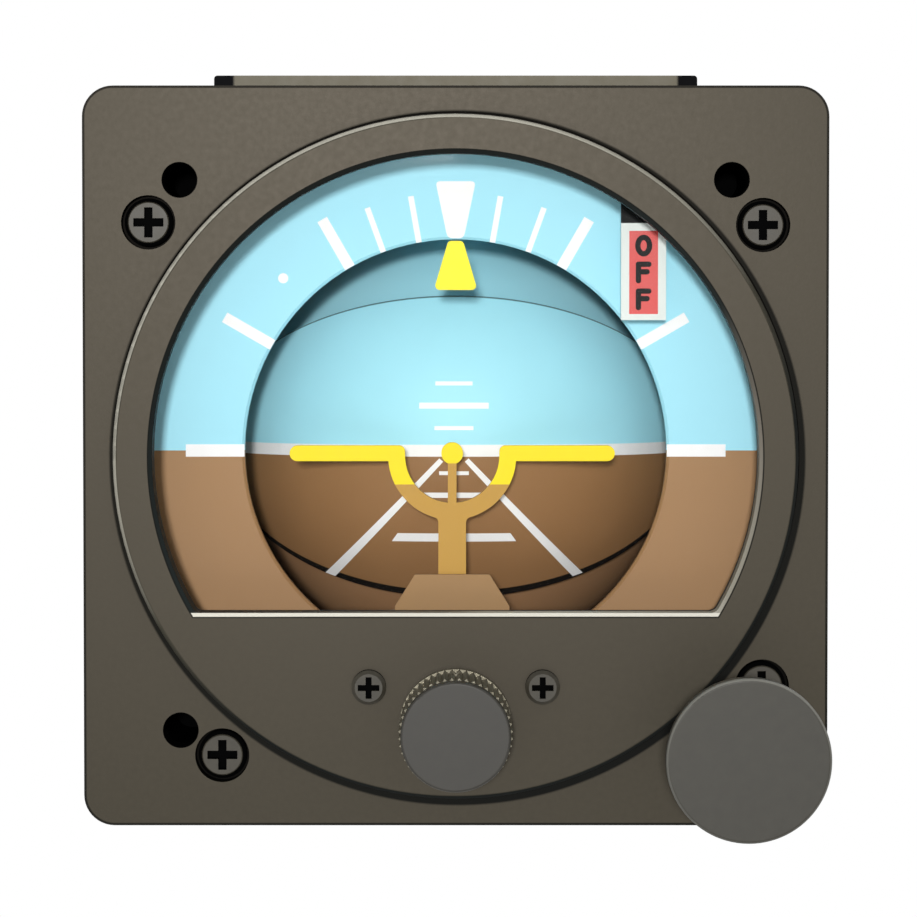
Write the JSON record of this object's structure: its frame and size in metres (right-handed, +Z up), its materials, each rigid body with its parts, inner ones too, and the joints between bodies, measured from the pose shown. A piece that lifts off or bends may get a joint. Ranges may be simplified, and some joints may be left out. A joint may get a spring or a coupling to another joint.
{
  "type": "attitude indicator",
  "caption": "Panel-mounted gyro attitude indicator with rolling bank dial, pitch ball, miniature airplane, warning flag, adjuster and pull-to-cage knob.",
  "frame": {"origin": "on the roll axis, in the front face of the square flange, which bears on the back of the panel", "axes": "+X to the pilot's right, +Y into the panel along the roll axis, +Z up"},
  "size_m": [0.085, 0.1695, 0.0862],
  "materials": {
    "black_casting": "semi-matt black enamel",
    "black_sheet": "matt black enamel",
    "black_knob": "matt black enamel",
    "window": "clear",
    "black_ring": "matt black",
    "yellow_enamel": "satin enamel",
    "black_screw": "black oxide",
    "steel": "ground",
    "aluminium": "cast",
    "brass": "machined",
    "dial_enamel": "matt enamel, sky and ground",
    "ball_enamel": "matt enamel, sky and ground",
    "sky_enamel": "matt enamel",
    "ground_enamel": "matt enamel",
    "flag_enamel": "matt enamel",
    "insulator": "moulded",
    "copper": "enamelled wire",
    "olive_shell": "olive plating",
    "gold_contact": "plated",
    "board": "laminate"
  },
  "bodies": {
    "case": {"bezel": "black_casting", "window_glass": "window", "glass_retainer": "black_ring", "bank_index": "yellow_enamel", "bezel_screws": "black_screw", "case_body": "black_casting", "rear_cover": "black_casting", "rear_cover_screws": "black_screw", "top_cover": "black_sheet", "top_cover_screws": "black_screw", "inverter_board": "board", "connector_shell": "olive_shell", "connector_insert": "insulator", "connector_pins": "gold_contact", "connector_screws": "black_screw", "roll_bearing_front": "steel", "roll_bearing_rear": "steel", "brush_block": "insulator", "brushes": "steel", "slide_bracket": "black_ring", "stem_shield": "ground_enamel", "guide_pins": "steel", "chin_screws": "black_screw", "set_bushing": "brass", "cage_bushing": "brass", "cage_spring": "steel", "flag_pivot": "steel", "flag_coil": "copper"},
    "roll_gimbal": {"bank_dial": "dial_enamel", "roll_frame": "aluminium", "roll_shaft": "steel", "slip_rings": "insulator", "sky_shield": "sky_enamel", "ground_shield": "ground_enamel", "roll_weights": "steel", "pitch_bearings": "steel"},
    "ball": {"pitch_ball": "ball_enamel", "ball_gear": "brass", "ball_pins": "steel"},
    "gyro": {"gyro_housing": "aluminium", "gyro_cover": "aluminium", "gyro_trunnions": "steel", "gyro_gear": "brass", "spin_bearings": "steel"},
    "rotor": {"rotor": "brass", "rotor_spindle": "steel"},
    "airplane": {"airplane_symbol": "yellow_enamel", "airplane_carrier": "brass", "airplane_rivets": "steel"},
    "set_control": {"set_shaft": "steel", "set_knob": "black_knob", "set_knob_screw": "black_screw"},
    "cage_control": {"cage_knob": "black_knob", "cage_rod": "steel", "cage_finger": "aluminium"},
    "flag": {"off_flag": "flag_enamel"}
  },
  "joints": [
    {"name": "roll", "type": "hinge", "parent": "case", "child": "roll_gimbal", "pos_m": [0, 0, 0], "axis": [0, 1, 0], "continuous": true},
    {"name": "gyro_pitch", "type": "hinge", "parent": "roll_gimbal", "child": "gyro", "pos_m": [0, 0.078, 0], "axis": [1, 0, 0], "range_deg": [-25, 25]},
    {"name": "ball_pitch", "type": "hinge", "parent": "roll_gimbal", "child": "ball", "pos_m": [0, 0.0402, 0], "axis": [1, 0, 0], "range_deg": [-25, 25]},
    {"name": "rotor_spin", "type": "hinge", "parent": "gyro", "child": "rotor", "pos_m": [0, 0.078, 0], "axis": [0, 0, 1], "continuous": true},
    {"name": "adjust_turn", "type": "hinge", "parent": "case", "child": "set_control", "pos_m": [0, 0, -0.03], "axis": [0, 1, 0], "range_deg": [-41.2, 41.2]},
    {"name": "airplane_height", "type": "slide", "parent": "case", "child": "airplane", "axis": [0, 0, 1], "range_m": [-0.002, 0.002]},
    {"name": "cage_pull", "type": "slide", "parent": "case", "child": "cage_control", "axis": [0, -1, 0], "range_m": [0, 0.008], "stiffness_N_per_m": 300, "springref_m": -0.002, "deforming": ["cage_spring"]},
    {"name": "flag_swing", "type": "hinge", "parent": "case", "child": "flag", "pos_m": [0.01, 0, 0.0346], "axis": [0, -1, 0], "range_deg": [0, 20], "stiffness_Nm_per_rad": 0.0005, "springref_deg": -11.46}
  ],
  "couplings": [
    {"joint": "ball_pitch", "follows": "gyro_pitch", "ratio": -1},
    {"joint": "adjust_turn", "follows": "airplane_height", "rad_per_m": -357.14}
  ]
}
